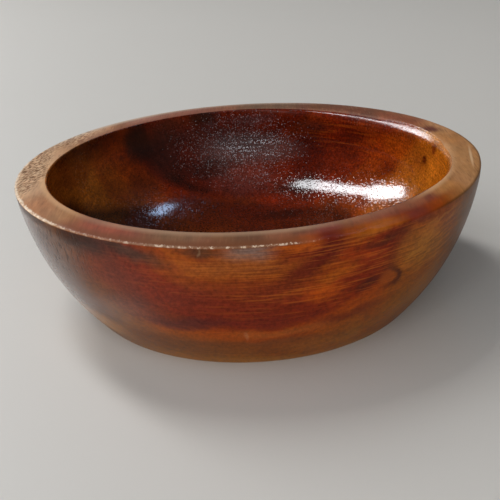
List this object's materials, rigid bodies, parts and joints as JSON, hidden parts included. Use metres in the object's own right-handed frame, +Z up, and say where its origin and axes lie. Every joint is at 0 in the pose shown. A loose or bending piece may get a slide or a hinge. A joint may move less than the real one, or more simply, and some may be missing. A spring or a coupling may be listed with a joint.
{
  "type": "wooden bowl",
  "caption": "Round turned wooden bowl with a flat rim, a wide flat foot and a smooth lacquered hollow that holds small things.",
  "frame": {"origin": "middle of the flat foot, on the surface that the bowl stands on", "axes": "+Z up along the axis of turning, towards the open rim; +Y along the grain, away from the picture's camera; +X to its right"},
  "size_m": [0.1398, 0.1398, 0.0424],
  "materials": {
    "turned_wood": "sanded, almost bare, satin",
    "gloss_film": "thick clear gloss over dark red-brown wood",
    "satin_film": "thin clear satin over red-brown wood"
  },
  "bodies": {
    "root": {"bowl_body": "turned_wood", "inner_gloss_coat": "gloss_film", "outer_satin_coat": "satin_film"}
  },
  "joints": []
}
